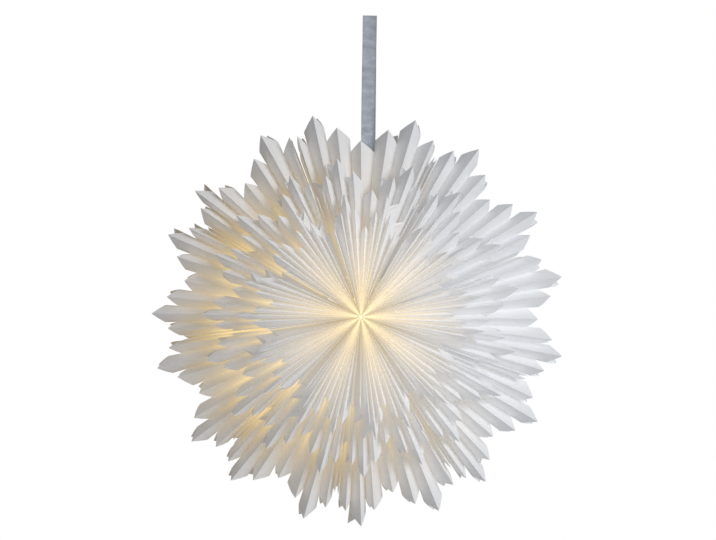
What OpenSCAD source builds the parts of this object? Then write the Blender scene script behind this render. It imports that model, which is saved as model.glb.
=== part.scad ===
// Paper advent star: nine glued blocks of pleated paper bags fanned into a ring,
// a lamp in the hollow behind the front pleats, and a ribbon loop that it hangs from.
// The star stands in the XZ plane, its front faces -Y, and the origin is inside the
// top of the ribbon loop.

/* [Star] */
// Radius of the longest spikes in the outermost row
outer_tip = 220; // [190:1:260]
// Radius of the longest spikes in the middle row
middle_tip = 169; // [150:1:185]
// Radius of the longest spikes in the front row
inner_tip = 128; // [118:1:145]
// How much shorter each spike is than its longer neighbour
tip_step = 16; // [6:0.5:20]
// Drop from a spike's tip to its shoulders
shoulder_drop = 16; // [6:0.5:22]
// Flat width of one pleat strip between two folds
pleat_w = 16.5; // [14:0.25:22]
// Thickness of a paper wall at its inner end, thinned to nothing at the cut edge
paper_t = 0.4; // [0.2:0.05:0.5]
// Height of the glue line that joins two bags
glue_w = 3; // [1.5:0.25:5]
// Radius of the lamp hollow
hollow_r = 45; // [40:1:52]
// Radius at which the front pleats end round the pole
pole_r = 2; // [1.5:0.25:4]

/* [Fan] */
// Angle at which the first segment starts, clockwise from the top
first_join = -20.5; // [-25:0.5:-15]
// Angle between ridges in the outermost row
outer_pitch_angle = 5.3; // [5:0.05:5.5]
// Angle between ridges in the middle row
middle_pitch_angle = 5.05; // [4.8:0.05:5.3]
// Angle between ridges in the front row
inner_pitch_angle = 3.5; // [3.3:0.05:4]
// How much wider the middle spike of a segment opens in the outermost row
outer_spread_angle = 1.1; // [0:0.05:1.5]
// How much wider the middle spike of a segment opens in the middle row
middle_spread_angle = 1.35; // [0:0.05:1.5]
// How much wider the middle spike of a segment opens in the front row
inner_spread_angle = 1.6; // [0:0.05:1.8]
// Angle from the last ridge of a segment to its edge, where the bags are pressed flat
end_angle = 0.4; // [0.3:0.05:0.7]
// How far a segment's front edge falls short of the join
groove_angle = 1.8; // [1:0.1:2.4]
// Angle left free between two segments where they are glued
join_clear_angle = 0.15; // [0.05:0.05:0.4]
// Clockwise lean of the outermost row in the middle of each segment
outer_lean_angle = 0.5; // [-2:0.25:2]
// Clockwise lean of the middle row
middle_lean_angle = 1; // [-3:0.25:3]
// Clockwise lean of the front row
inner_lean_angle = -2; // [-4:0.25:3]
// How much the outermost row's lean changes round the ring
outer_sway_angle = 1.4; // [0:0.1:2]
// How much the middle row's lean changes round the ring
middle_sway_angle = 2.2; // [0:0.1:4]
// How much the front row's lean changes round the ring
inner_sway_angle = 2.7; // [0:0.1:4]
// Clockwise lean of the rear rows against the outermost row
rear_lean_angle = 1.4; // [-2:0.1:2]

/* [Ribbon] */
// Width of the ribbon
ribbon_w = 15; // [8:0.5:20]
// Thickness of the ribbon
ribbon_t = 0.4; // [0.3:0.05:0.8]
// Inner radius of the loop's top
loop_r = 2.6; // [2.2:0.1:5]
// Distance from the loop's top down to the star's middle
star_drop = 324; // [290:1:400]
// Sideways distance from the loop's top to the star's middle
star_shift = -12; // [-14:0.5:-8]
// Lean of the ribbon from upright
ribbon_lean = 0.8; // [0:0.1:1.2]
// Length of ribbon held inside the top bag
ribbon_tail = 30; // [24:1:50]
// Length over which the two ends are sewn together
ribbon_seam = 8; // [4:1:12]
// Room between the ribbon and the bag that holds it
ribbon_clear = 0.3; // [0.1:0.05:0.6]

/* [Back card] */
// Width of the card ring outside the hollow
card_rim = 20; // [12:1:30]
// Thickness of the card
card_t = 1.5; // [1:0.1:3]
// Width of the ring left inside the hollow's edge
card_lip = 6; // [3:0.5:8]
// Width of the bar that carries the lamp holder
bar_w = 42; // [38:1:48]
// Room between the card and the pleats it is glued to
card_clear = 0.2; // [0.1:0.05:0.5]

/* [Lamp] */
// Radius of the lamp holder's body
holder_r = 13.5; // [12:0.25:14.5]
// Length of the holder's sleeve in front of the card
sleeve_l = 26; // [22:1:34]
// Length of the holder's cap behind the card
cap_l = 24; // [18:1:36]
// Width of the holder's flange outside its body
flange_w = 3.5; // [2:0.25:5]
// Thickness of the holder's flange
flange_t = 2.5; // [1.5:0.25:4]
// Radius of the cable inlet
inlet_r = 3.6; // [3:0.1:5]
// Length of the cable inlet
inlet_l = 8; // [5:0.5:12]
// Radius of the brass screw shell's inside
shell_r = 7.3; // [7.1:0.1:7.6]
// Thickness of the brass screw shell
shell_t = 0.5; // [0.3:0.05:0.8]
// Radius of the shade ring
ring_r = 20; // [18:0.5:24]
// Thickness of the shade ring
ring_t = 6; // [4:0.5:10]
// Radius of the bulb's globe
bulb_r = 22.5; // [18:0.5:24]
// Length of the bulb without its screw cap
bulb_l = 53; // [46:1:62]
// Length of the bulb's screw cap
screw_l = 20; // [16:1:21]
// Running room between the lamp's own pieces
lamp_clear = 0.3; // [0.15:0.05:0.5]

/* [Hidden] */
$fn = 96;

// Angle that each segment is opened to, in turn clockwise from the top
segment_spans = [46, 43, 41, 39, 39, 38, 38, 37, 39];
// Angle of a segment in a ring that is opened evenly
even_span = 40;
// Where on the ring the outermost, middle and front rows lean most
sway_angles_top = [150, 35, 40];
// Bags in a segment, and hollow cells from front to back in a bag
bags = 9;
cells = 5;
last_bag = (bags - 1) / 2;
last_row = (cells - 1) / 2;
// How far the last glue line lies on the way from the last ridge but one to the last ridge
end_pull = 0.85;
// Points that each cell gives a glue line, a fold and its own inside
line_count = 3;
fold_count = 2;
inside_count = 6;
// Radius at which the hollow bags start behind the pole
pole_wall = 14;
// Depth left between two hollow bags at their shared fold, and in front of a hollow at the pole
fold_web = 1;
pole_web = 2.5;
// Most of a bag's narrow inner end that one paper wall may take
wall_share = 0.35;
// Thickness of a hollow bag's floor
floor_t = 2;
// Step in the lamp holder that the screw shell seats on
shell_seat = 1;
// Distance from the lamp holder's mouth to the screw shell
shell_inset = 1;
// Width of the bulb's collar outside its screw cap, and the radius and height of its contact
collar_w = 5.5;
contact_r = 4;
contact_l = 3;
// Angle up the globe at which the collar leaves it
collar_angle = 50;
tips = [outer_tip, middle_tip, inner_tip];
pitch_angles = [outer_pitch_angle, middle_pitch_angle, inner_pitch_angle];
spread_angles = [outer_spread_angle, middle_spread_angle, inner_spread_angle];
lean_angles = [outer_lean_angle, middle_lean_angle, inner_lean_angle];
sway_angles = [outer_sway_angle, middle_sway_angle, inner_sway_angle];
paper_colour = [0.95, 0.94, 0.91];

// Sum of the first n entries of a list
function sum_to(list, n) = n == 0 ? 0 : list[n - 1] + sum_to(list, n - 1);

// Depth of one pleat at radius r, shallower where the bags are pulled wider
function pleat_depth(r) = sqrt(pow(pleat_w, 2) - pow(r * sin(180 / (bags * bags)), 2));

// Row of a fold at an odd level: 0 outermost, 2 front
function row_of(level) = (abs(level) - 1) / 2;

// Angle of a segment's edge from the middle of an evenly opened segment
function edge_angle(level) =
    even_span / 2 - join_clear_angle - groove_angle * pow(level / (cells - 1), 2);

// Ridge angle of bag k from the middle of an evenly opened segment, at an odd level
function odd_angle(k, level) =
    abs(k) == last_bag
        ? sign(k) * (edge_angle(level) - end_angle)
        : k * pitch_angles[row_of(level)] + sign(k) * spread_angles[row_of(level)];

// Angle between bags k and k + 1 at an odd level, where their glue line would lie
function between(k, level) =
    let (share = abs(k + 0.5) == last_bag - 0.5 ? end_pull : 0.5,
         far = abs(k) > abs(k + 1) ? k : k + 1,
         near = far == k ? k + 1 : k)
    share * odd_angle(far, level) + (1 - share) * odd_angle(near, level);

// Angle of the glue line between bags k - 0.5 and k + 0.5 at an even level
function even_angle(k, level) =
    abs(k) > last_bag
        ? sign(k) * edge_angle(level)
        : (between(k - 0.5, abs(level) - 1) + between(k - 0.5, abs(level) + 1)) / 2;

// Clockwise lean of a row at an angle round the ring. The outermost row stays put at the
// segment's edges, where part is 1 or -1, and the others lean as a whole.
function row_lean(row, angle, part) =
    (lean_angles[row] + sway_angles[row] * cos(angle - sway_angles_top[row]))
        * (row == 0 ? 1 - pow(part, 2) : 1);

// Clockwise lean at a level, between the rows in front of it and behind it
function lean(level, angle, part) =
    let (depth = max(0, min(last_row, (-level - 1) / 2)), row = floor(depth))
    (1 + row - depth) * row_lean(row, angle, part)
        + (depth - row) * row_lean(min(row + 1, last_row), angle, part)
        + rear_lean_angle * max(0, min(1, (level + 1) / 2));

// Angle of a point of segment s, clockwise from the top
function place(s, angle, level) =
    let (part = 2 * angle / even_span,
         upright = first_join + sum_to(segment_spans, s) + (part + 1) / 2 * segment_spans[s])
    upright + lean(level, upright, part);

// Tip radius of bag k in a row: long, medium and short spikes take turns
function tip(k, row) = tips[row] - tip_step * abs(abs(k) - 2);

// Shoulder radius at a glue line
function shoulder(k, row) =
    let (a = min(last_bag, abs(k) + 0.5), b = abs(k) - 0.5)
    (tip(a, row) + tip(b, row)) / 2 - shoulder_drop;

// Inner radius of the paper at a level
function inner_edge(level) = level < -3 ? pole_r : hollow_r;

// Inner radius of a bag's hollow at a level
function floor_edge(level) = level < -3 ? pole_wall : hollow_r + floor_t;

// Point at an angle, a radius and a depth, moved sideways by dx and backwards by dy
function at(angle, r, level, dx = 0, dy = 0) =
    [star_shift + r * sin(angle) + dx * cos(angle),
     level * pleat_depth(r) + dy,
     -star_drop + r * cos(angle) - dx * sin(angle)];

// Points of a glue line: its front and back inner ends and its shoulder, for each cell
function line_points(s, b) =
    [for (c = [0 : cells - 1])
        let (level = 2 * c - cells + 1,
             k = b - bags / 2,
             a = place(s, even_angle(k, level), level),
             r = inner_edge(level))
        each [at(a, r, level, 0, -glue_w / 2),
              at(a, r, level, 0, glue_w / 2),
              at(a, shoulder(k, abs(level) / 2), level)]];

// Points of a bag's folds: left and right inner ends at each odd level
function fold_points(s, k) =
    [for (j = [0 : cells])
        let (level = 2 * j - cells,
             a = place(s, odd_angle(k, level), level),
             r = inner_edge(level),
             room = abs(k) == last_bag ? wall_share * r * sin(end_angle) : paper_t,
             w = j == 0 || j == cells ? 0 : min(paper_t, room))
        each [at(a, r, level, -w), at(a, r, level, w)]];

// Points of a bag's cells: front and rear tip, then the hollow's floor
function cell_points(s, k) =
    [for (c = [0 : cells - 1])
        let (level = 2 * c - cells + 1,
             row = abs(level) / 2,
             front = place(s, odd_angle(k, level - 1), level - 1),
             rear = place(s, odd_angle(k, level + 1), level + 1),
             left = place(s, even_angle(k - 0.5, level), level),
             right = place(s, even_angle(k + 0.5, level), level),
             middle = (left + right) / 2,
             wall = min(paper_t, wall_share * floor_edge(level) * sin(right - left)),
             at_pole = level - 1 == -cells,
             front_web = at_pole ? pole_web : fold_web,
             front_share = at_pole ? 1 : fold_web / pleat_depth(floor_edge(level - 1)),
             rear_share = fold_web / pleat_depth(floor_edge(level + 1)))
        each [at(front, tip(k, row), level - 1),
              at(rear, tip(k, row), level + 1),
              at(front + front_share * (middle - front), floor_edge(level - 1), level - 1, 0, front_web),
              at(left, floor_edge(level), level, wall),
              at(right, floor_edge(level), level, -wall),
              at(rear + rear_share * (middle - rear), floor_edge(level + 1), level + 1, 0, -fold_web)]];

line_size = line_count * cells;
fold_size = fold_count * (cells + 1);
bag_start = line_size * (bags + 1);
bag_size = fold_size + inside_count * cells;

// Places of the points in a segment's list
function line_at(b, c, i) = b * line_size + line_count * c + i;
function fold_at(b, j, side) =
    bag_start + b * bag_size + fold_count * j + (j == 0 || j == cells ? 0 : side);
function cell_at(b, c, i) = bag_start + b * bag_size + fold_size + inside_count * c + i;

// Triangles that share a polygon's first point, turned over on request
function spread(list, over = false) =
    [for (i = [1 : len(list) - 2])
        over ? [list[0], list[i + 1], list[i]] : [list[0], list[i], list[i + 1]]];

// Tips of the shorter cell that shares fold j with cell c, if cell c is the longer one
function short_tip(b, c, j) =
    let (other = j == c ? c - 1 : c + 1,
         middle = (cells - 1) / 2)
    abs(other - middle) > abs(c - middle) && other >= 0 && other < cells
        ? [cell_at(b, other, j == c ? 1 : 0)] : [];

// Whether a bag is pressed flat at a segment's end, where its paper is one solid
function is_flat(b) = b == 0 || b == bags - 1;

// Outer and inner paper faces of one cell on one side
function cell_faces(b, c, side) =
    let (line = b + side,
         shoulder = line_at(line, c, 2),
         hollow_side = cell_at(b, c, 3 + side),
         turn = side == 0)
    concat(
        spread(concat([shoulder, line_at(line, c, 0), fold_at(b, c, side)],
                      short_tip(b, c, c), [cell_at(b, c, 0)]), turn),
        spread(concat([shoulder, line_at(line, c, 1), fold_at(b, c + 1, side)],
                      short_tip(b, c, c + 1), [cell_at(b, c, 1)]), !turn),
        is_flat(b) ? [] : spread([shoulder, hollow_side, cell_at(b, c, 2), cell_at(b, c, 0)], !turn),
        is_flat(b) ? [] : spread([shoulder, hollow_side, cell_at(b, c, 5), cell_at(b, c, 1)], turn));

// Faces of one bag's inner end, and of its hollows' floors or its pressed mouths
function end_faces(b) =
    concat(
        [for (c = [0 : cells - 1])
            each concat(
                spread([fold_at(b, c, 0), fold_at(b, c, 1), line_at(b + 1, c, 0), line_at(b, c, 0)]),
                spread([line_at(b, c, 0), line_at(b + 1, c, 0), line_at(b + 1, c, 1), line_at(b, c, 1)]),
                spread([line_at(b, c, 1), line_at(b + 1, c, 1), fold_at(b, c + 1, 1),
                        fold_at(b, c + 1, 0)]),
                is_flat(b)
                    ? spread([line_at(b, c, 2), cell_at(b, c, 1), line_at(b + 1, c, 2), cell_at(b, c, 0)])
                    : spread([cell_at(b, c, 3), cell_at(b, c, 5), cell_at(b, c, 4), cell_at(b, c, 2)]))]);

// Faces that close the glue lines at a segment's two ends
side_faces =
    [for (c = [0 : cells - 1])
        each [[line_at(0, c, 0), line_at(0, c, 1), line_at(0, c, 2)],
              [line_at(bags, c, 0), line_at(bags, c, 2), line_at(bags, c, 1)]]];

segment_faces =
    [for (face = concat(
            side_faces,
            [for (b = [0 : bags - 1]) each end_faces(b)],
            [for (b = [0 : bags - 1], c = [0 : cells - 1], side = [0, 1]) each cell_faces(b, c, side)]))
        if (face[0] != face[1] && face[1] != face[2] && face[2] != face[0]) face];

// One glued block of bags
module segment(s)
{
    points = concat(
        [for (b = [0 : bags]) each line_points(s, b)],
        [for (b = [0 : bags - 1]) each concat(fold_points(s, b - last_bag), cell_points(s, b - last_bag))]);
    color(paper_colour)
        polyhedron(points = points, faces = segment_faces, convexity = 20);
}

// Half the angle of the bag that holds the ribbon, and the angle of its middle
mouth_half = even_angle(0.5, 0) * segment_spans[0] / even_span;
mouth_angle = place(0, 0, 0);
mouth_r = shoulder(0.5, 0);
ribbon_l = star_drop - mouth_r + ribbon_tail;
ribbon_top_l = star_drop - tip(0, 0);
tail_r = mouth_r - ribbon_tail;

// Half the width that the ribbon may take on one side of its own line inside the bag
function mouth_room(r, side) =
    let (line = star_shift + r * sin(mouth_angle),
         ribbon = -(star_drop - r) * tan(ribbon_lean),
         half_t = ribbon_t + loop_r * (r - tail_r) / ribbon_l,
         wall = paper_t * (mouth_r - r) / (mouth_r - floor_edge(0)))
    r * sin(mouth_half) * (1 - half_t / pleat_depth(r)) - wall - ribbon_clear
        + side * (line - ribbon);

// The doubled ribbon seen from its edge
module ribbon_profile()
{
    difference() {
        polygon(concat([for (a = [0 : 15 : 180]) (loop_r + ribbon_t) * [cos(a), sin(a)]
                            + [0, -loop_r]],
                       [[-ribbon_t, -ribbon_l], [ribbon_t, -ribbon_l]]));
        polygon(concat([for (a = [0 : 15 : 180]) loop_r * [cos(a), sin(a)] + [0, -loop_r]],
                       [[0, -ribbon_l + ribbon_seam]]));
    }
}

// The ribbon seen from the front, gathered where it goes into the bag
module ribbon_outline()
{
    full = ribbon_w / 2;
    polygon([[-full, 1], [full, 1], [full, -ribbon_top_l],
             [min(full, mouth_room(mouth_r, 1)), mouth_r - star_drop],
             [min(full, mouth_room(tail_r, 1)), -ribbon_l - 1],
             [-min(full, mouth_room(tail_r, -1)), -ribbon_l - 1],
             [-min(full, mouth_room(mouth_r, -1)), mouth_r - star_drop],
             [-full, -ribbon_top_l]]);
}

module hanging_ribbon()
{
    color([0.6, 0.64, 0.7])
        rotate([0, ribbon_lean, 0])
            intersection() {
                rotate([90, 0, 90]) linear_extrude(2 * ribbon_w, center = true) ribbon_profile();
                rotate([90, 0, 0]) linear_extrude(4 * loop_r, center = true) ribbon_outline();
            }
}

// Places along the depth, from the card forwards and backwards
card_front = cells * pleat_depth(hollow_r) + card_clear;
card_back = card_front + card_t;
flange_back = card_back + lamp_clear + flange_t;
cap_back = flange_back + cap_l;
sleeve_front = card_front - sleeve_l;
socket_r = shell_r + shell_t + lamp_clear;
socket_back = sleeve_front + shell_inset + screw_l + lamp_clear;

// Moves a shape drawn about the Z axis, with Z as depth, onto the star's axis
module on_axis()
{
    translate([star_shift, 0, -star_drop]) rotate([-90, 0, 0]) children();
}

// The card that closes the back: a ring with a bar across it for the lamp holder
module back_card()
{
    color([0.9, 0.88, 0.84])
        on_axis() translate([0, 0, card_front])
            linear_extrude(card_t)
                difference() {
                    circle(hollow_r + card_rim);
                    for (side = [-1, 1])
                        intersection() {
                            circle(hollow_r - card_lip);
                            translate([side * (hollow_r + bar_w / 2), 0])
                                square([2 * hollow_r, 2 * hollow_r], center = true);
                        }
                    circle(holder_r + lamp_clear);
                }
}

module lamp_holder()
{
    color([0.93, 0.93, 0.92])
        on_axis()
            difference() {
                rotate_extrude()
                    polygon([[0, sleeve_front], [holder_r, sleeve_front],
                             [holder_r, card_back + lamp_clear],
                             [holder_r + flange_w, card_back + lamp_clear],
                             [holder_r + flange_w, flange_back],
                             [holder_r, flange_back],
                             [holder_r - 1, cap_back - inlet_l],
                             [inlet_r + 3, cap_back],
                             [0, cap_back]]);
                translate([0, 0, sleeve_front - 1])
                    cylinder(r = socket_r, h = socket_back - sleeve_front + 1);
                translate([0, 0, socket_back - 1])
                    cylinder(r = socket_r - shell_seat, h = cap_back - inlet_l - socket_back + 1);
                translate([0, 0, socket_back])
                    cylinder(r = inlet_r, h = cap_back - socket_back + 1);
            }
}

module screw_shell()
{
    color([0.8, 0.68, 0.36])
        on_axis() translate([0, 0, sleeve_front + shell_inset])
            difference() {
                cylinder(r = shell_r + shell_t, h = screw_l);
                translate([0, 0, -1]) cylinder(r = shell_r, h = screw_l + 2);
            }
}

module shade_ring()
{
    color([0.93, 0.93, 0.92])
        on_axis() translate([0, 0, card_front - lamp_clear - ring_t])
            difference() {
                cylinder(r = ring_r, h = ring_t);
                translate([0, 0, -1]) cylinder(r = holder_r + lamp_clear, h = ring_t + 2);
            }
}

module bulb()
{
    neck_r = shell_r - lamp_clear;
    collar_z = sleeve_front - lamp_clear;
    globe_z = collar_z - bulb_l + bulb_r;
    cap_end = collar_z + screw_l;
    color([0.98, 0.96, 0.9])
        on_axis() rotate_extrude()
            polygon(concat(
                [[0, globe_z - bulb_r]],
                [for (a = [-75 : 15 : collar_angle]) [bulb_r * cos(a), globe_z + bulb_r * sin(a)]],
                [[neck_r + collar_w, collar_z], [neck_r, collar_z], [neck_r, cap_end - contact_l],
                 [contact_r, cap_end], [0, cap_end]]));
}

segment(0);  // segment_1
segment(1);  // segment_2
segment(2);  // segment_3
segment(3);  // segment_4
segment(4);  // segment_5
segment(5);  // segment_6
segment(6);  // segment_7
segment(7);  // segment_8
segment(8);  // segment_9
hanging_ribbon();
back_card();
lamp_holder();
screw_shell();
shade_ring();
bulb();
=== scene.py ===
"""Paper advent star: a lit star of pleated paper bags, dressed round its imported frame."""

import logging
import math
from dataclasses import dataclass, field
from enum import IntEnum
from typing import Optional, Union

import bpy
import numpy as np
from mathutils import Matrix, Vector


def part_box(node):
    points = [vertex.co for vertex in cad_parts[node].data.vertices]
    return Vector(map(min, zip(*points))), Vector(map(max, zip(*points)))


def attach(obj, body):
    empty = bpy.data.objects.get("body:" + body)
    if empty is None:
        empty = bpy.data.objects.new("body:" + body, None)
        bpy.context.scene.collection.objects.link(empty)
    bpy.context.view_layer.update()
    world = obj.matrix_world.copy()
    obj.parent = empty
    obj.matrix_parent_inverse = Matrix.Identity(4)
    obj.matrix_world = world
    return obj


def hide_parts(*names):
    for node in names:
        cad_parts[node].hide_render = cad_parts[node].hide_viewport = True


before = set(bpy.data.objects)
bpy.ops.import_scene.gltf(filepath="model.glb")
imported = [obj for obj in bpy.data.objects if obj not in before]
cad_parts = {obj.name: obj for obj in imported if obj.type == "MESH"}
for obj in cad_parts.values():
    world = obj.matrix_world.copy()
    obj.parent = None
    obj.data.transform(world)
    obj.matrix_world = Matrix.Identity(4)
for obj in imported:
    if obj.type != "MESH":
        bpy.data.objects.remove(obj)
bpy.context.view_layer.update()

log = logging.getLogger("paper_star")

Number = Union[float, int, "Value"]
Colour = tuple[float, float, float]


class Row(IntEnum):
    """Rows of spikes, counted from the star's middle plane forwards or backwards."""

    OUTER = 0
    MIDDLE = 1
    FRONT = 2


class Strand(IntEnum):
    """The two strands of the ribbon loop."""

    FRONT = -1
    BACK = 1


class Value:
    """A number in a material's nodes that Python's operators work on."""

    def __init__(self, tree: "Tree", socket: bpy.types.NodeSocket) -> None:
        """Wraps one socket.

        Args:
            tree: the material's tree that the socket is in.
            socket: an output socket that gives a number.
        """
        self.tree = tree
        self.socket = socket

    def maths(self, operation: str, *others: Number, swap: bool = False) -> "Value":
        """Adds one Math node.

        Args:
            operation: the node's operation.
            others: what this value is combined with.
            swap: puts the first of others before this value.

        Returns:
            The node's result.
        """
        terms = [self, *others]
        if swap:
            terms[0], terms[1] = terms[1], terms[0]
        values = dict(enumerate(terms))
        return self.tree.number("ShaderNodeMath", {"operation": operation}, values)

    def __add__(self, other: Number) -> "Value":
        """Sum."""
        return self.maths("ADD", other)

    def __radd__(self, other: Number) -> "Value":
        """Sum with the number first."""
        return self.maths("ADD", other, swap=True)

    def __sub__(self, other: Number) -> "Value":
        """Difference."""
        return self.maths("SUBTRACT", other)

    def __rsub__(self, other: Number) -> "Value":
        """Difference from a number."""
        return self.maths("SUBTRACT", other, swap=True)

    def __mul__(self, other: Number) -> "Value":
        """Product."""
        return self.maths("MULTIPLY", other)

    def __rmul__(self, other: Number) -> "Value":
        """Product with the number first."""
        return self.maths("MULTIPLY", other, swap=True)

    def __pow__(self, other: Number) -> "Value":
        """Power."""
        return self.maths("POWER", other)

    def clamp(self) -> "Value":
        """Held between 0 and 1."""
        return self.maths("MAXIMUM", 0.0).maths("MINIMUM", 1.0)

    def sine(self) -> "Value":
        """Sine of the value in radians."""
        return self.maths("SINE")


class Tree:
    """The nodes of one material or of the world."""

    def __init__(self, owner: Union[bpy.types.Material, bpy.types.World]) -> None:
        """Starts with no nodes.

        Args:
            owner: the material or the world that the nodes are in.
        """
        self.owner = owner
        self.owner.use_nodes = True
        self.nodes = self.owner.node_tree.nodes
        self.links = self.owner.node_tree.links
        self.nodes.clear()

    @classmethod
    def for_material(cls, name: str) -> "Tree":
        """The empty tree of a new material of this name."""
        return cls(bpy.data.materials.new(name))

    def add(self, kind: str, settings: Optional[dict] = None,
            inputs: Optional[dict] = None) -> bpy.types.Node:
        """Adds one node.

        Args:
            kind: the node's type.
            settings: the node's own properties; a ramp's stops are given as stops.
            inputs: values, sockets or Values by input name or number.

        Returns:
            The node.
        """
        node = self.nodes.new(kind)
        for name, value in (settings or {}).items():
            if name == "stops":
                self.set_stops(node.color_ramp, value)
            else:
                setattr(node, name, value)
        for name, value in (inputs or {}).items():
            target = node.inputs[name]
            if isinstance(value, Value):
                self.links.new(value.socket, target)
            elif isinstance(value, bpy.types.NodeSocket):
                self.links.new(value, target)
            else:
                target.default_value = value
        return node

    @staticmethod
    def set_stops(ramp: bpy.types.ColorRamp, stops: list[tuple[float, Colour]]) -> None:
        """Sets a ramp's stops.

        Args:
            ramp: the ramp.
            stops: places and colours, from 0 to 1.
        """
        while len(ramp.elements) > 1:
            ramp.elements.remove(ramp.elements[0])
        ramp.elements[0].position = stops[0][0]
        ramp.elements[0].color = (*stops[0][1], 1.0)
        for place, colour in stops[1:]:
            ramp.elements.new(place).color = (*colour, 1.0)

    def number(self, kind: str, settings: Optional[dict] = None, inputs: Optional[dict] = None,
               output: Union[int, str] = 0) -> Value:
        """Adds a node and wraps one of its outputs.

        Args:
            kind: the node's type.
            settings: the node's own properties.
            inputs: values by input name or number.
            output: name or number of the output.

        Returns:
            The output as a Value.
        """
        return Value(self, self.add(kind, settings, inputs).outputs[output])

    def attribute(self, name: str) -> Value:
        """A number stored on the mesh's points."""
        return self.number("ShaderNodeAttribute", {"attribute_name": name}, output="Fac")

    def place(self) -> bpy.types.NodeSocket:
        """Object coordinates, in metres."""
        return self.add("ShaderNodeTexCoord").outputs["Object"]

    def uv(self) -> tuple[bpy.types.NodeSocket, Value, Value]:
        """The piece's own map as a vector and as two numbers."""
        vector = self.add("ShaderNodeUVMap", {"uv_map": "UVMap"}).outputs[0]
        parts = self.add("ShaderNodeSeparateXYZ", inputs={0: vector})
        return vector, Value(self, parts.outputs[0]), Value(self, parts.outputs[1])

    def noise(self, vector: bpy.types.NodeSocket, scale: float, detail: float = 3.0) -> Value:
        """Noise from 0 to 1 at a scale in waves a metre."""
        inputs = {"Vector": vector, "Scale": scale, "Detail": detail}
        return self.number("ShaderNodeTexNoise", inputs=inputs)

    def mix(self, share: Number, first: Union[Colour, bpy.types.NodeSocket],
            second: Union[Colour, bpy.types.NodeSocket], blend: str = "MIX") -> bpy.types.NodeSocket:
        """Mixes two colours.

        Args:
            share: how much of the second colour, from 0 to 1.
            first: first colour.
            second: second colour.
            blend: the node's blend type.

        Returns:
            The colour's socket.
        """
        def full(colour: Union[Colour, bpy.types.NodeSocket]) -> Union[tuple, bpy.types.NodeSocket]:
            """A colour with its alpha."""
            return (*colour, 1.0) if isinstance(colour, tuple) else colour
        node = self.add("ShaderNodeMix", {"data_type": "RGBA", "blend_type": blend},
                        {0: share, 6: full(first), 7: full(second)})
        return node.outputs[2]

    def bump(self, height: Value, strength: float, distance: float) -> bpy.types.NodeSocket:
        """Bump from a height, with its strength and its depth in metres."""
        inputs = {"Height": height, "Strength": strength, "Distance": distance}
        return self.add("ShaderNodeBump", inputs=inputs).outputs[0]

    def surface(self, inputs: dict) -> bpy.types.Material:
        """Ends the tree with a Principled surface.

        Args:
            inputs: values by input name.

        Returns:
            The finished material.
        """
        shader = self.add("ShaderNodeBsdfPrincipled", inputs=inputs)
        self.add("ShaderNodeOutputMaterial", inputs={"Surface": shader.outputs[0]})
        return self.owner


@dataclass(frozen=True)
class PaperFinish:
    """Matt white paper that the lamp glows through."""

    white: Colour = (0.86, 0.86, 0.865)
    fibre_dark: Colour = (0.80, 0.80, 0.80)
    glow: Colour = (1.0, 0.70, 0.28)
    hot: Colour = (1.0, 0.90, 0.58)
    daylight: Colour = (0.93, 0.96, 1.0)
    unlit: Colour = (0.0, 0.0, 0.0)
    roughness: float = 0.85
    specular: float = 0.25
    fibre_scale: float = 1400.0
    fibre_share: float = 0.6
    cloud_scale: float = 55.0
    cloud_share: float = 0.25
    glow_least: float = 0.86
    glow_cloud: float = 0.28
    bump_strength: float = 0.35
    bump_depth: float = 0.00012

    def make(self) -> bpy.types.Material:
        """Builds the material.

        Base colour is white mottled by fine fibre noise and wide clouds. Emission is the
        stored lamp light, orange where it is weak and pale where it is strong, and a little
        cloudy, with the stored daylight that comes through the thin paper added to it.

        Returns:
            The material.
        """
        tree = Tree.for_material("star_paper")
        place = tree.place()
        fibre = tree.noise(place, self.fibre_scale)
        cloud = tree.noise(place, self.cloud_scale)
        mottle = (fibre * self.fibre_share + cloud * self.cloud_share).clamp()
        lamp = (tree.attribute("lamp") * (self.glow_least + self.glow_cloud * cloud)).clamp()
        warm = tree.mix(lamp, self.unlit, tree.mix(lamp, self.glow, self.hot))
        day = tree.mix(tree.attribute("day").clamp(), self.unlit, self.daylight)
        return tree.surface({
            "Base Color": tree.mix(mottle, self.white, self.fibre_dark),
            "Roughness": self.roughness,
            "Specular IOR Level": self.specular,
            "Emission Color": tree.mix(1.0, warm, day, "ADD"),
            "Emission Strength": 1.0,
            "Normal": tree.bump(fibre, self.bump_strength, self.bump_depth),
        })


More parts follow.
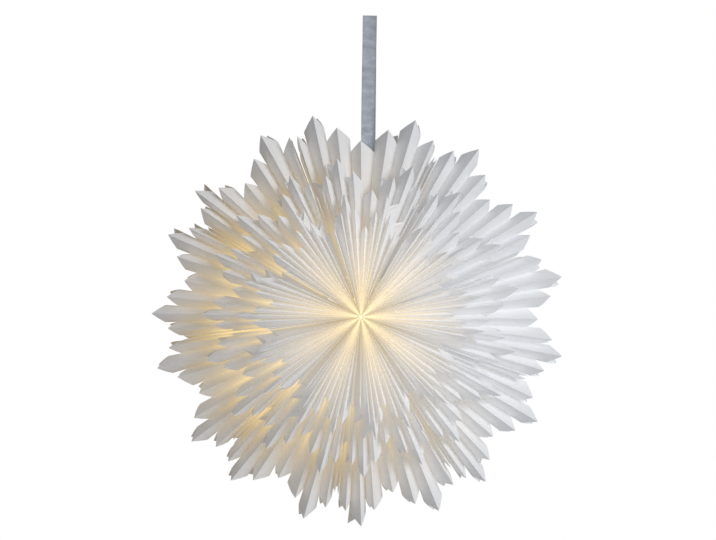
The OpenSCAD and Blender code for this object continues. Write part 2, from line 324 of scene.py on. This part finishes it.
@dataclass(frozen=True)
class RibbonFinish:
    """Grey-blue woven ribbon with closed edges."""

    # light and dark are the ribbon's lit tone and its painted-shade tone
    light: Colour = (0.50, 0.54, 0.59)
    dark: Colour = (0.28, 0.31, 0.34)
    half_width: float = 0.0075
    rib_pitch: float = 0.00055
    warp_pitch: float = 0.00035
    rib_share: float = 0.7
    crease_scale: float = 170.0
    crease_detail: float = 4.0
    crease_stretch: tuple[float, float, float] = (0.45, 1.0, 1.0)
    # painted light and shade in the colour: darker between ribs, lighter and darker patches in creases,
    # darker at both edges
    weave_shade: float = 0.30
    crease_shade: float = 2.2
    crease_drop: float = 0.62
    edge_shade: float = 0.45
    edge_power: float = 6.0
    # painted shade: the ribbon darkens evenly towards its right side
    right_side_shade: float = 30.0
    roughness: float = 0.55
    sheen: float = 0.25
    bump_strength: float = 0.6
    bump_depth: float = 0.00008

    def make(self) -> bpy.types.Material:
        """Builds the material.

        Height is the weighted sum of two sines, ribs across the ribbon and finer threads along
        it. The colour carries painted shade: it is darker between ribs, at the woven edges and,
        evenly, towards its right side, and soft creases across the ribbon paint light and shade.

        Returns:
            The material.
        """
        tree = Tree.for_material("ribbon_weave")
        vector, across, along = tree.uv()
        ribs = (along * (2.0 * math.pi / self.rib_pitch)).sine() * 0.5 + 0.5
        threads = (across * (2.0 * math.pi / self.warp_pitch)).sine() * 0.5 + 0.5
        height = ribs * self.rib_share + threads * (1.0 - self.rib_share)
        stretched = tree.add("ShaderNodeVectorMath", {"operation": "MULTIPLY"},
                             {0: vector, 1: self.crease_stretch}).outputs[0]
        # painted light and shade: noise patches in soft creases across the ribbon
        creases = tree.noise(stretched, self.crease_scale, self.crease_detail)
        # painted shade towards both edges
        edge = (across * (1.0 / self.half_width)).maths("ABSOLUTE") ** self.edge_power
        # shade mixes the painted shade of ribs, creases, edges and the right side; 1 gives the lit tone
        shade = height * self.weave_shade + creases * self.crease_shade - self.crease_drop
        shade = (shade - edge * self.edge_shade - across * self.right_side_shade).clamp()
        return tree.surface({
            "Base Color": tree.mix(shade, self.dark, self.light),
            "Roughness": self.roughness,
            "Sheen Weight": self.sheen,
            "Normal": tree.bump(height, self.bump_strength, self.bump_depth),
        })


@dataclass(frozen=True)
class MouldedFinish:
    """A hard plain material with a fine surface: plastic, card or brass."""

    name: str
    colour: Colour
    second: Colour
    roughness: float
    metallic: float = 0.0
    grain_scale: float = 900.0
    cloud_size: float = 18.0
    roughness_range: float = 0.12
    bump_strength: float = 0.3
    bump_depth: float = 0.00003
    emission: Optional[Colour] = None
    emission_strength: float = 0.0

    def make(self) -> bpy.types.Material:
        """Builds the material.

        Returns:
            The material: two close colours mottled by noise, with the same noise as bump.
        """
        tree = Tree.for_material(self.name)
        place = tree.place()
        grain = tree.noise(place, self.grain_scale)
        cloud = tree.noise(place, self.grain_scale / self.cloud_size)
        least = self.roughness - self.roughness_range / 2
        inputs = {
            "Base Color": tree.mix(cloud, self.colour, self.second),
            "Roughness": (grain * self.roughness_range + least).clamp(),
            "Metallic": self.metallic,
            "Normal": tree.bump(grain, self.bump_strength, self.bump_depth),
        }
        if self.emission:
            inputs["Emission Color"] = (*self.emission, 1.0)
            inputs["Emission Strength"] = self.emission_strength
        return tree.surface(inputs)


def smooth(x: np.ndarray) -> np.ndarray:
    """Smooth step: 3x^2 - 2x^3 with x held between 0 and 1."""
    x = np.clip(x, 0.0, 1.0)
    return x * x * (3.0 - 2.0 * x)


def put_grid(name: str, points: np.ndarray, closed: bool, fold_every: int = 0,
             floats: Optional[dict[str, np.ndarray]] = None) -> bpy.types.Object:
    """Makes one object of many equal grids.

    Points are numbered grid by grid, then along the first direction, then along the second.
    A quad joins each point to the next in both directions, and the first direction wraps
    round where it is closed. The grid's ends and its folds are sharp.

    Args:
        name: the piece's name.
        points: array of grids, first direction, second direction, xyz.
        closed: whether the first direction is a ring.
        fold_every: steps from one fold to the next in the first direction, or 0.
        floats: numbers for each point, by attribute name.

    Returns:
        The new object, linked to the scene.
    """
    grids, first, second, _ = points.shape
    index = np.arange(grids * first * second).reshape(grids, first, second)
    after = np.roll(index, -1, axis=1) if closed else index[:, 1:]
    before = index if closed else index[:, :-1]
    corners = [before[:, :, :-1], after[:, :, :-1], after[:, :, 1:], before[:, :, 1:]]
    quads = np.stack(corners, axis=-1).reshape(-1, 4).astype(np.int32)
    mesh = bpy.data.meshes.new(name)
    mesh.vertices.add(index.size)
    mesh.vertices.foreach_set("co", points.reshape(-1).astype(np.float32))
    mesh.loops.add(quads.size)
    mesh.loops.foreach_set("vertex_index", quads.reshape(-1))
    mesh.polygons.add(len(quads))
    mesh.polygons.foreach_set("loop_start", np.arange(0, quads.size, 4, dtype=np.int32))
    mesh.update(calc_edges=True)
    ends = np.empty(2 * len(mesh.edges), dtype=np.int32)
    mesh.edges.foreach_get("vertices", ends)
    ends = ends.reshape(-1, 2)
    place, line = ends % second, ends // second % first
    sharp = (place[:, 0] == place[:, 1]) & np.isin(place[:, 0], (0, second - 1))
    if fold_every:
        sharp |= (line[:, 0] == line[:, 1]) & (line[:, 0] % fold_every == 0)
    mesh.attributes.new("sharp_edge", "BOOLEAN", "EDGE").data.foreach_set("value", sharp)
    for key, values in (floats or {}).items():
        layer = mesh.attributes.new(key, "FLOAT", "POINT")
        layer.data.foreach_set("value", values.reshape(-1).astype(np.float32))
    piece = bpy.data.objects.new(name, mesh)
    bpy.context.scene.collection.objects.link(piece)
    return piece


def add_thickness(piece: bpy.types.Object, thickness: float, offset: float) -> None:
    """Gives a sheet its thickness.

    Args:
        piece: the sheet.
        thickness: in metres.
        offset: -1 puts it behind the faces, 0 on both sides.
    """
    solid = piece.modifiers.new("thickness", "SOLIDIFY")
    solid.thickness = thickness
    solid.offset = offset
    solid.use_even_offset = False


@dataclass
class PaperStar:
    """The nine glued blocks of folded paper bags.

    Angles are in degrees, clockwise from the top. Tuples of three go by row, from the
    outermost one to the front one, and tuples of nine go by block.
    """

    centre_x: float
    centre_z: float
    tips: tuple[float, float, float] = (0.220, 0.169, 0.128)
    tip_step: float = 0.016
    tip_spread: float = 0.0011
    rear_drop: float = 0.0012
    shoulder_drop: float = 0.0140
    shoulder_step: float = 0.0018
    bow: float = 0.035
    pleat: float = 0.0165
    hollow: float = 0.045
    pole: float = 0.0012
    first_join: float = -20.5
    spans: tuple[float, ...] = (46, 43, 41, 39, 39, 38, 38, 37, 39)
    pitches: tuple[float, float, float] = (5.3, 5.05, 3.5)
    spreads: tuple[float, float, float] = (1.1, 1.35, 1.6)
    end_angle: float = 0.4
    end_pull: float = 0.85
    groove: float = 1.8
    join_clear: float = 0.15
    leans: tuple[float, float, float] = (0.0, 1.0, -2.0)
    sways: tuple[float, float, float] = (0.0, 2.2, 2.7)
    sway_tops: tuple[float, float, float] = (0.0, 35.0, 40.0)
    block_shifts: tuple[float, ...] = (-1.1, 0.5, 0.8, 2.9, 1.4, 0.1, 0.4, 0.4, -0.8)
    block_turns: tuple[float, ...] = (1.6, -0.6, -1.1, -0.4, -0.2, 0.2, 0.3, 0.5, 0.8)
    block_bends: tuple[float, ...] = (0.0, -0.7, -0.8, -2.0, -1.9, -0.1, 0.0, 0.1, 3.5)
    last_gap: float = 0.35
    tip_stray: float = 0.42
    rear_stray: float = 0.65
    line_stray: float = 0.13
    rear_lean: float = 1.4
    glow_roots: tuple[float, float, float] = (0.141, 0.098, 0.0)
    glow_reach: tuple[float, float, float] = (0.045, 0.040, 0.055)
    glow_power: tuple[float, float, float] = (0.24, 0.22, 0.38)
    glow_at_ridge: float = 0.8
    glow_at_join: float = 0.5
    shade_side: float = 255.0
    shade_mean: float = 0.55
    shade_swing: float = 0.6
    day_side: float = 90.0
    day_start: float = 0.07
    day_base: tuple[float, float, float] = (0.0, 0.03, 0.075)
    day_power: tuple[float, float, float] = (0.14, 0.11, 0.03)
    day_focus: float = 2.5
    day_at_ridge: float = 0.85
    day_groove: float = 0.3
    paper: float = 0.00016
    bags: int = 9
    cells: int = 5
    strip_steps: int = 4
    length_steps: int = 12
    seed: int = 11

    def __post_init__(self) -> None:
        """Works out the folds' levels, the bags' numbers and each cell's row and bag."""
        self.even_span = 360.0 / len(self.spans)
        self.bag_no = np.arange(self.bags) - (self.bags - 1) / 2
        self.line_no = np.arange(self.bags + 1) - self.bags / 2
        self.odd_levels = 2 * np.arange(self.cells + 1) - self.cells
        self.even_levels = 2 * np.arange(self.cells) - self.cells + 1
        rows = np.abs(self.even_levels) // 2
        self.cell_row = np.tile(rows, self.bags)[None, :, None, None]
        self.cell_bag = np.repeat(self.bag_no, self.cells)[None, :, None, None]
        self.chance = np.random.default_rng(self.seed)

    def pleat_depth(self, r: np.ndarray) -> np.ndarray:
        """Depth of one pleat: the root of its flat width squared less half the bag's width squared."""
        half = r * math.sin(math.pi / (self.bags * len(self.spans)))
        return np.sqrt(self.pleat ** 2 - half ** 2)

    def edge_angles(self, level: np.ndarray) -> np.ndarray:
        """Angle from a block's middle to its edge, less at the front and rear, where the joins open."""
        opened = self.groove * (level / (self.cells - 1)) ** 2
        return self.even_span / 2 - self.join_clear - opened

    def ridge_angles(self, number: np.ndarray, level: np.ndarray) -> np.ndarray:
        """Ridge angles from the middle of an evenly opened block.

        Ridges are one pitch apart, the middle spike is wider by a spread, and the last ridge
        is pressed against the block's edge. The outermost row is shifted, turned and bent
        towards one side, block by block.

        Args:
            number: bag numbers, 0 in the middle.
            level: fold levels, which are odd.

        Returns:
            Angles, with the blocks in front of the two arrays' common shape.
        """
        row = (np.abs(level) - 1) // 2
        free = number * np.array(self.pitches)[row] + np.sign(number) * np.array(self.spreads)[row]
        part = 2 * free / self.even_span
        shift, turn, bend = (np.array(a)[:, None, None]
                             for a in (self.block_shifts, self.block_turns, self.block_bends))
        free = free + (row == Row.OUTER) * (shift + turn * part + bend * part ** 2)
        last = self.edge_angles(level) - self.end_angle
        free = np.clip(free, self.last_gap - last, last - self.last_gap)
        return np.where(np.abs(number) == (self.bags - 1) / 2, np.sign(number) * last, free)

    def glue_angles(self) -> np.ndarray:
        """Angles of the glue lines: between the ridges beside each, and at the block's own edges.

        The line beside the last ridge is pulled towards it.

        Returns:
            Array of blocks by lines by cells.
        """
        number = self.line_no[:, None]
        level = np.abs(self.even_levels)[None, :]
        last = (self.bags - 1) / 2
        far = number + np.sign(number) / 2
        near = number - np.sign(number) / 2
        share = np.where(np.abs(number) == last - 0.5, self.end_pull, 0.5)
        beyond, before = self.ridge_angles(far, level + 1), self.ridge_angles(near, level + 1)
        inner = share * beyond + (1 - share) * before
        edge = np.sign(number) * self.edge_angles(level + 1)
        return np.where(np.abs(number) > last, edge, inner)

    def lean(self, upright: np.ndarray, level: np.ndarray) -> np.ndarray:
        """Clockwise lean of the folds.

        Each row in front leans by a fixed part and a part that goes with the cosine of the
        angle round the ring, and the outermost row by none. The folds behind the middle plane
        lean by one more angle.

        Args:
            upright: angles round the ring.
            level: fold levels, negative in front.

        Returns:
            The lean.
        """
        depth = np.ceil(np.clip((-level - 1) / 2, 0, Row.FRONT))
        total = self.rear_lean * np.clip(level, 0, 1)
        for row in Row:
            swing = np.cos(np.radians(upright - self.sway_tops[row]))
            total = total + (depth == row) * (self.leans[row] + self.sways[row] * swing)
        return total

    def on_ring(self, angle: np.ndarray, level: np.ndarray) -> np.ndarray:
        """Angles round the ring for every block.

        Args:
            angle: angles in an evenly opened block, blocks by lines by levels.
            level: fold levels.

        Returns:
            Array of blocks by lines by levels.
        """
        spans = np.array(self.spans, dtype=float)[:, None, None]
        turned = np.concatenate([[0.0], np.cumsum(self.spans)[:-1]])[:, None, None]
        upright = self.first_join + turned + (angle / self.even_span + 0.5) * spans
        return upright + self.lean(upright, level[None, None, :])

    def steps_down(self) -> np.ndarray:
        """How many steps each bag is shorter than the longest ones, the second ones from the middle."""
        return np.abs(np.abs(self.bag_no) - 2)

    def fold_lines(self) -> tuple[np.ndarray, ...]:
        """The four folds of every hollow cell, in the order front, right, rear, left.

        A fold runs straight in its radius from the pole, in the front half of the front cells,
        or from the lamp's hollow to the tip at a ridge and to the shoulder at a glue line.

        Returns:
            Angle at the inner end, angle at the tip, level, inner radius and outer radius,
            each of the shape blocks, bags, cells, 4.
        """
        blocks = len(self.spans)
        shape = (blocks, self.bags, self.cells, 4)
        odd, even = self.odd_levels, self.even_levels
        ridge = self.on_ring(self.ridge_angles(self.bag_no[:, None], odd[None, :]), odd)
        glue = self.on_ring(self.glue_angles(), even)
        angle = np.stack([ridge[:, :, :-1], glue[:, 1:], ridge[:, :, 1:], glue[:, :-1]], axis=-1)
        level = np.stack([odd[:-1], even, odd[1:], even], axis=-1).astype(float)
        level = np.broadcast_to(level, shape)
        inner = np.where(level < 2 - self.cells, self.pole, self.hollow)
        steps = self.steps_down()
        tip = (np.array(self.tips)[None, :] - self.tip_step * steps[:, None])[:, np.abs(even) // 2]
        tip = tip[None] + self.chance.normal(0.0, self.tip_spread, shape[:3])
        drop = (self.shoulder_drop - self.shoulder_step * steps)[None, :, None]
        outer = np.stack([tip, tip - drop, tip - self.rear_drop, tip - drop], axis=-1)
        front = self.chance.normal(0.0, self.tip_stray, shape[:3])
        rear = self.chance.normal(0.0, self.rear_stray, shape[:3])
        lines = self.chance.normal(0.0, self.line_stray, (blocks, self.bags + 1, self.cells))
        stray = np.stack([front, lines[:, 1:], rear, lines[:, :-1]], axis=-1)
        return angle, angle + stray, level, inner, outer

    def points(self) -> tuple[np.ndarray, np.ndarray, np.ndarray]:
        """The paper's surface: every cell is a tube round its four folds.

        A point lies between two folds, by its share round the strip, and between the folds'
        inner and outer ends, by its share along. A fold's angle goes from its inner to its
        outer one with the square of that share. Each strip bows outwards by a sine across it.

        Returns:
            Points as blocks, bags x cells, round, along, xyz; then, without xyz, the points'
            radius and how near they are to a glue line: 0 at a ridge, 1 at the line.
        """
        start, end, level, inner, outer = (a[..., None, None] for a in self.fold_lines())
        share = np.linspace(0.0, 1.0, self.length_steps + 1)[None, :]
        r = inner + share * (outer - inner)
        angle = np.radians(start + (end - start) * share ** 2)
        lines = np.stack([self.centre_x + r * np.sin(angle),
                          level * self.pleat_depth(r),
                          self.centre_z + r * np.cos(angle)], axis=-1)
        nexts = np.roll(lines, -1, axis=3)
        step = (np.arange(self.strip_steps) / self.strip_steps)[:, None, None]
        across = nexts - lines
        radial = np.stack([np.sin(angle), 0 * angle, np.cos(angle)], axis=-1)
        bulge = np.cross(across, radial) * (np.sin(math.pi * step) * self.bow)
        surface = lines + across * step + bulge
        radius = r + (np.roll(r, -1, axis=3) - r) * step[..., 0]
        radius = np.broadcast_to(radius, surface.shape[:-1])
        at_glue = np.array([0.0, 1.0, 0.0, 1.0]).reshape(1, 1, 1, 4, 1, 1)
        waist = np.broadcast_to(np.abs(at_glue - step[..., 0]), surface.shape[:-1])
        around = 4 * self.strip_steps
        shape = (len(self.spans), self.bags * self.cells, around, self.length_steps + 1)
        return surface.reshape(*shape, 3), radius.reshape(shape), waist.reshape(shape)

    def facing(self, points: np.ndarray, side: float) -> np.ndarray:
        """Cosine of the angle round the ring between each point and a side of the star."""
        ring = np.arctan2(points[..., 0] - self.centre_x, points[..., 2] - self.centre_z)
        return np.cos(ring - math.radians(side))

    def lamp_light(self, radius: np.ndarray, waist: np.ndarray, points: np.ndarray) -> np.ndarray:
        """How strongly the lamp shines through each point of the paper.

        It falls off as exp(-distance / reach). In the front row it does so from the pole and
        is strongest in the middle of each block. In the rows behind it does so from where the
        row comes out from under the one in front, and is strongest near the glue lines and on
        the side away from the daylight.

        Args:
            radius: distance from the star's axis.
            waist: 0 at a ridge, 1 at a glue line.
            points: the points themselves.

        Returns:
            Light, about 0 to 0.4, of radius's shape.
        """
        row = self.cell_row
        by_row = (self.glow_roots, self.glow_reach, self.glow_power)
        root, reach, power = (np.array(values)[row] for values in by_row)
        fall = np.exp(-np.maximum(radius - root, 0.0) / reach)
        toward = self.facing(points, self.shade_side)
        shade = np.clip(self.shade_mean + self.shade_swing * toward, 0.0, None)
        middle = np.cos(np.pi * self.cell_bag / self.bags) ** 2
        middle = self.glow_at_join + (1.0 - self.glow_at_join) * middle
        groove = self.glow_at_ridge + (1.0 - self.glow_at_ridge) * waist
        return power * fall * np.where(row == Row.FRONT, middle, shade * groove)

    def daylight(self, radius: np.ndarray, waist: np.ndarray, points: np.ndarray) -> np.ndarray:
        """How much daylight comes through the thin paper.

        Behind the front row it is strongest in the grooves and on the window's side, and near
        the pole there is none.

        Args:
            radius: distance from the star's axis.
            waist: 0 at a ridge, 1 at a glue line.
            points: the points themselves.

        Returns:
            Light, about 0 to 0.2, of radius's shape.
        """
        row = self.cell_row
        base, power = (np.array(values)[row] for values in (self.day_base, self.day_power))
        window = (0.5 + 0.5 * self.facing(points, self.day_side)) ** self.day_focus
        groove = np.where(row == Row.FRONT, 1.0, self.day_at_ridge + self.day_groove * waist)
        return (base + power * window) * smooth(radius / self.day_start) * groove

    def build(self, material: bpy.types.Material) -> list[bpy.types.Object]:
        """Makes one piece for each glued block.

        Args:
            material: the paper.

        Returns:
            The pieces.
        """
        points, radius, waist = self.points()
        lights = {"lamp": self.lamp_light(radius, waist, points),
                  "day": self.daylight(radius, waist, points)}
        made = []
        for number in range(len(self.spans)):
            node = f"segment_{number + 1}"
            floats = {name: light[number] for name, light in lights.items()}
            piece = put_grid(f"paper_{node}", points[number], True, self.strip_steps, floats)
            add_thickness(piece, self.paper, -1.0)
            piece.data.materials.append(material)
            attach(piece, "root")
            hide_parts(node)
            made.append(piece)
        return made


@dataclass
class HangingRibbon:
    """The ribbon loop that the star hangs from, two strands joined at the top."""

    box: tuple[Vector, Vector]
    width: float = 0.015
    thickness: float = 0.00035
    top_radius: float = 0.0026
    strand_gap: float = 0.0004
    end_clear: float = 0.001
    lean: float = 0.8
    front_turn: float = 34.0
    back_turn: float = -14.0
    turn_depth: float = 0.45
    front_shift: float = -0.0012
    back_shift: float = 0.0006
    tail: float = 0.030
    tail_narrowing: float = 0.45
    steps: int = 60
    top_steps: int = 13
    columns: int = 12

    def build(self, material: bpy.types.Material) -> bpy.types.Object:
        """Makes the ribbon.

        Its path goes up the front strand, round a half circle and down the back strand. Each
        strand turns on its own line and shifts a little sideways towards its lower end, by a
        smooth step, and its tail is gathered inside the top bag. The ribbon's width is laid
        across the path, and the whole of it leans.

        Args:
            material: the weave.

        Returns:
            The piece.
        """
        low = self.box[0][2]
        length = -low - self.end_clear
        top_r = self.top_radius
        up = np.linspace(0.0, 1.0, self.steps)
        bend = np.linspace(math.pi, 0.0, self.top_steps)[1:-1]
        near = self.strand_gap + self.thickness
        front = np.stack([-near - (top_r - near) * up, -length + (length - top_r) * up], axis=-1)
        top = np.stack([top_r * np.cos(bend), -top_r + top_r * np.sin(bend)], axis=-1)
        back = front[::-1] * np.array([-1.0, 1.0])
        path = np.concatenate([front, top, back])
        down = np.clip(-path[:, 1] / length, 0.0, 1.0)
        strand = np.where(path[:, 0] < 0, Strand.FRONT, Strand.BACK)
        in_front = strand == Strand.FRONT
        turn = np.radians(np.where(in_front, self.front_turn, self.back_turn)) * smooth(down)
        inside = smooth((down - (1.0 - self.tail / length)) / (self.tail / length))
        half = self.width / 2 * (1.0 - self.tail_narrowing * inside)
        across = np.linspace(-1.0, 1.0, self.columns + 1)
        offset = half[:, None] * across[None, :]
        shift = np.where(in_front, self.front_shift, self.back_shift)
        shift = shift * smooth(down) * (1.0 - inside)
        x = shift[:, None] + offset * np.cos(turn)[:, None]
        y = path[:, 0][:, None] + offset * np.sin(turn)[:, None] * self.turn_depth
        z = np.repeat(path[:, 1][:, None], self.columns + 1, axis=1)
        cos, sin = math.cos(math.radians(self.lean)), math.sin(math.radians(self.lean))
        points = np.stack([x * cos + z * sin, y, z * cos - x * sin], axis=-1)
        piece = put_grid("ribbon_loop", points[None], False)
        steps = np.linalg.norm(np.diff(path, axis=0), axis=1)
        along = np.concatenate([[0.0], np.cumsum(steps)])
        uv = np.stack(np.broadcast_arrays(offset, along[:, None]), axis=-1).reshape(-1, 2)
        layer = piece.data.uv_layers.new(name="UVMap")
        loops = np.empty(len(piece.data.loops), dtype=np.int32)
        piece.data.loops.foreach_get("vertex_index", loops)
        layer.data.foreach_set("uv", uv[loops].reshape(-1).astype(np.float32))
        piece.data.polygons.foreach_set("use_smooth", np.ones(len(piece.data.polygons), dtype=bool))
        add_thickness(piece, self.thickness, 0.0)
        piece.data.materials.append(material)
        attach(piece, "root")
        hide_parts("hanging_ribbon")
        return piece


@dataclass
class LampParts:
    """The pieces behind the paper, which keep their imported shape."""

    finishes: dict[str, MouldedFinish] = field(default_factory=lambda: {
        "back_card": MouldedFinish("card", (0.80, 0.79, 0.76), (0.74, 0.73, 0.70), 0.85),
        "lamp_holder": MouldedFinish("holder_plastic", (0.80, 0.80, 0.79), (0.77, 0.77, 0.76), 0.42),
        "shade_ring": MouldedFinish("ring_plastic", (0.80, 0.80, 0.79), (0.77, 0.77, 0.76), 0.42),
        "screw_shell": MouldedFinish("brass", (0.72, 0.55, 0.25), (0.62, 0.46, 0.20), 0.28,
                                     metallic=1.0),
        "bulb": MouldedFinish("opal_bulb", (0.90, 0.88, 0.82), (0.88, 0.86, 0.80), 0.25,
                              emission=(1.0, 0.78, 0.45), emission_strength=2.5),
    })

    def dress(self) -> None:
        """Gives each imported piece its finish."""
        for node, finish in self.finishes.items():
            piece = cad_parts[node]
            material = finish.make()
            piece.data.materials.clear()
            piece.data.materials.append(material)
            log.info("dressed %s", node)


@dataclass(frozen=True)
class SoftLamp:
    """One soft square lamp: its place from the star's middle, side, power and colour."""

    name: str
    place: tuple[float, float, float]
    size: float
    watts: float
    colour: Colour


@dataclass
class Studio:
    """The camera, the lamps, the floor and the white surroundings."""

    star: tuple[float, float]
    picture: tuple[int, int] = (716, 540)
    width_at_star: float = 0.7645
    distance: float = 2.6
    sensor_mm: float = 36.0
    camera_turn: float = -1.7
    camera_rise: float = -1.9
    aim: tuple[float, float] = (-0.0007, 0.0513)
    lamps: tuple[SoftLamp, ...] = (
        SoftLamp("key", (1.65, -1.85, 0.85), 1.4, 34.0, (0.97, 0.985, 1.0)),
        SoftLamp("fill", (-1.6, -2.4, -0.2), 1.6, 3.0, (1.0, 0.95, 0.88)),
    )
    floor_z: float = -1.05
    floor_side: float = 3.0
    floor_grey: Colour = (0.9, 0.9, 0.9)
    floor_glow: Colour = (0.7, 0.7, 0.7)
    floor_roughness: float = 0.9
    ambient: Colour = (0.86, 0.90, 1.0)
    ambient_strength: float = 0.24

    def build_camera(self) -> None:
        """Puts the camera in front, turned and lowered a little, aimed at the picture's middle."""
        turn = math.radians(self.camera_turn)
        rise = math.radians(self.camera_rise)
        target = Vector((self.star[0] + self.aim[0], 0.0, self.star[1] + self.aim[1]))
        flat = math.cos(rise)
        away = Vector((math.sin(turn) * flat, -math.cos(turn) * flat, math.sin(rise)))
        data = bpy.data.cameras.new("camera")
        data.sensor_width = self.sensor_mm
        data.lens = self.sensor_mm * self.distance / self.width_at_star
        camera = bpy.data.objects.new("camera", data)
        camera.location = target + away * self.distance
        camera.rotation_euler = (target - camera.location).to_track_quat("-Z", "Y").to_euler()
        bpy.context.scene.collection.objects.link(camera)
        bpy.context.scene.camera = camera

    def build_lamps(self) -> None:
        """Hangs the lamps, each turned to the star's middle."""
        middle = Vector((self.star[0], 0.0, self.star[1]))
        for soft in self.lamps:
            data = bpy.data.lights.new(soft.name, "AREA")
            data.size = soft.size
            data.energy = soft.watts
            data.color = soft.colour
            lamp = bpy.data.objects.new(soft.name, data)
            lamp.location = middle + Vector(soft.place)
            lamp.rotation_euler = (middle - lamp.location).to_track_quat("-Z", "Y").to_euler()
            bpy.context.scene.collection.objects.link(lamp)

    def build_floor(self) -> None:
        """Lays the pale floor, which the camera sees as white with the shadow kept."""
        side = self.floor_side
        points = np.array([[-side, -side, 0], [side, -side, 0], [-side, side, 0], [side, side, 0]])
        grid = (points + np.array([self.star[0], 0.0, self.floor_z])).reshape(1, 2, 2, 3)
        floor = put_grid("floor", grid, False)
        floor.data.flip_normals()
        tree = Tree.for_material("floor_white")
        seen = tree.number("ShaderNodeLightPath", output="Is Camera Ray")
        floor.data.materials.append(tree.surface({
            "Base Color": (*self.floor_grey, 1.0),
            "Roughness": self.floor_roughness,
            "Emission Color": tree.mix(seen, (0.0, 0.0, 0.0), self.floor_glow),
            "Emission Strength": 1.0,
        }))

    def build_world(self) -> None:
        """Fills the surroundings: white to the camera, glass and gloss, a weak light to the rest."""
        world = bpy.data.worlds.new("surroundings")
        bpy.context.scene.world = world
        tree = Tree(world)
        path = tree.add("ShaderNodeLightPath")
        seen, glossy, through = (Value(tree, path.outputs[f"Is {kind} Ray"])
                                 for kind in ("Camera", "Glossy", "Transmission"))
        seen = seen.maths("MAXIMUM", glossy).maths("MAXIMUM", through)
        ambient = tree.add("ShaderNodeBackground", inputs={
            "Color": (*self.ambient, 1.0), "Strength": self.ambient_strength})
        white = tree.add("ShaderNodeBackground", inputs={
            "Color": (1.0, 1.0, 1.0, 1.0), "Strength": 1.0})
        mix = tree.add("ShaderNodeMixShader", inputs={
            0: seen, 1: ambient.outputs[0], 2: white.outputs[0]})
        tree.add("ShaderNodeOutputWorld", inputs={"Surface": mix.outputs[0]})
        bpy.context.scene.view_settings.view_transform = "Standard"

    def build(self) -> None:
        """Builds it all, the camera first."""
        self.build_camera()
        self.build_lamps()
        self.build_floor()
        self.build_world()


def main() -> None:
    """Builds the studio, the star, the ribbon and the lamp's pieces in turn."""
    logging.basicConfig(level=logging.INFO)
    bulb_low, bulb_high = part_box("bulb")
    star = ((bulb_low[0] + bulb_high[0]) / 2, (bulb_low[2] + bulb_high[2]) / 2)
    Studio(star).build()
    for piece in PaperStar(*star).build(PaperFinish().make()):
        log.info("built %s", piece.name)
    ribbon = HangingRibbon(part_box("hanging_ribbon")).build(RibbonFinish().make())
    log.info("built %s", ribbon.name)
    LampParts().dress()


if __name__ == "__main__":
    main()
